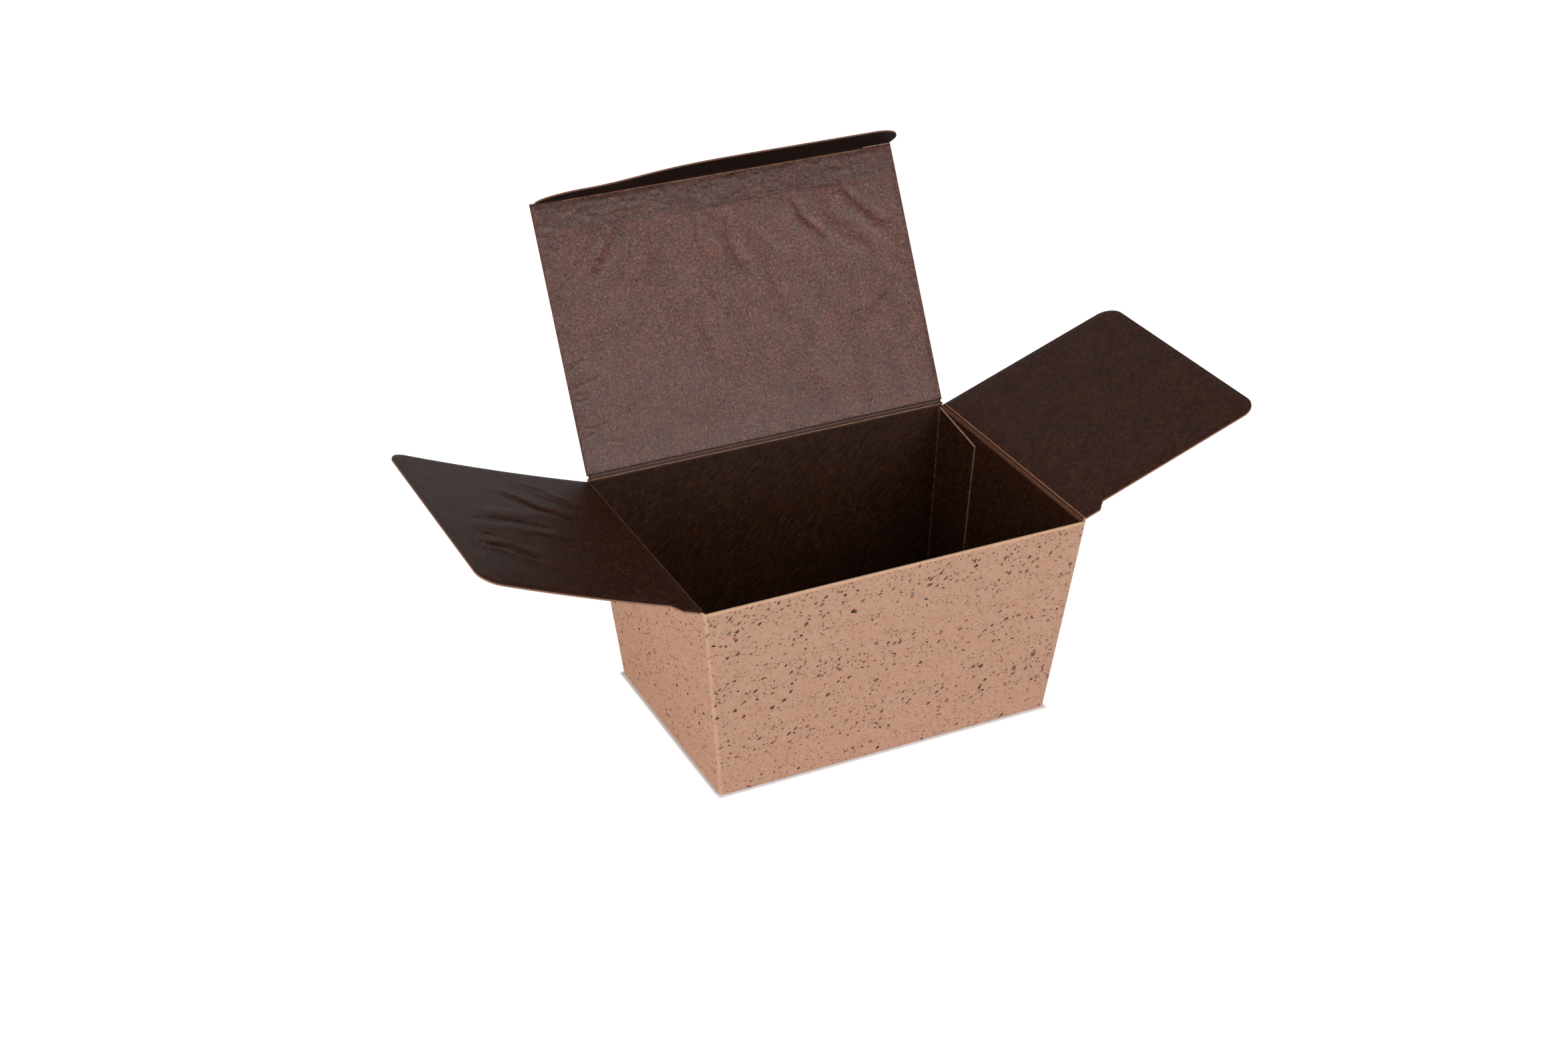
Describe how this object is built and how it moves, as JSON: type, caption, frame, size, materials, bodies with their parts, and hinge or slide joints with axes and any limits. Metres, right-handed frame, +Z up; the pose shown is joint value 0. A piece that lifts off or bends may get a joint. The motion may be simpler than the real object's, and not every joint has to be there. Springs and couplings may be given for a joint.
{
  "type": "ballotin box",
  "caption": "Open tapered folding carton of kraft board with a dark paper lining, a hinged lid with a tuck flap, and hinged side flaps.",
  "frame": {"origin": "middle of the base, on the surface that the box stands on", "axes": "+Z up, the front wall faces -Y and the lid turns at the back, +X to the right as seen from the front"},
  "size_m": [0.2259, 0.1164, 0.1387],
  "materials": {
    "kraft_board": "matte",
    "dark_lining": "matte"
  },
  "bodies": {
    "tray": {"tray_board": "kraft_board", "tray_lining": "dark_lining"},
    "lid": {"lid_board": "kraft_board", "lid_lining": "dark_lining"},
    "tuck_flap": {"tuck_flap_board": "kraft_board", "tuck_flap_lining": "dark_lining"},
    "left_flap": {"left_flap_board": "kraft_board", "left_flap_lining": "dark_lining"},
    "right_flap": {"right_flap_board": "kraft_board", "right_flap_lining": "dark_lining"}
  },
  "joints": [
    {"name": "lid_hinge", "type": "hinge", "parent": "tray", "child": "lid", "pos_m": [0, 0.04025, 0.062], "axis": [1, 0, 0], "range_deg": [-100, 117.7]},
    {"name": "tuck_hinge", "type": "hinge", "parent": "lid", "child": "tuck_flap", "pos_m": [0, 0.07595, 0.13048], "axis": [1, 0, 0], "range_deg": [-87.5, 6]},
    {"name": "left_flap_hinge", "type": "hinge", "parent": "tray", "child": "left_flap", "pos_m": [-0.0564, 0, 0.061], "axis": [0, 1, 0], "range_deg": [-109, 161]},
    {"name": "right_flap_hinge", "type": "hinge", "parent": "tray", "child": "right_flap", "pos_m": [0.0564, 0, 0.061], "axis": [0, -1, 0], "range_deg": [-110, 160]}
  ]
}
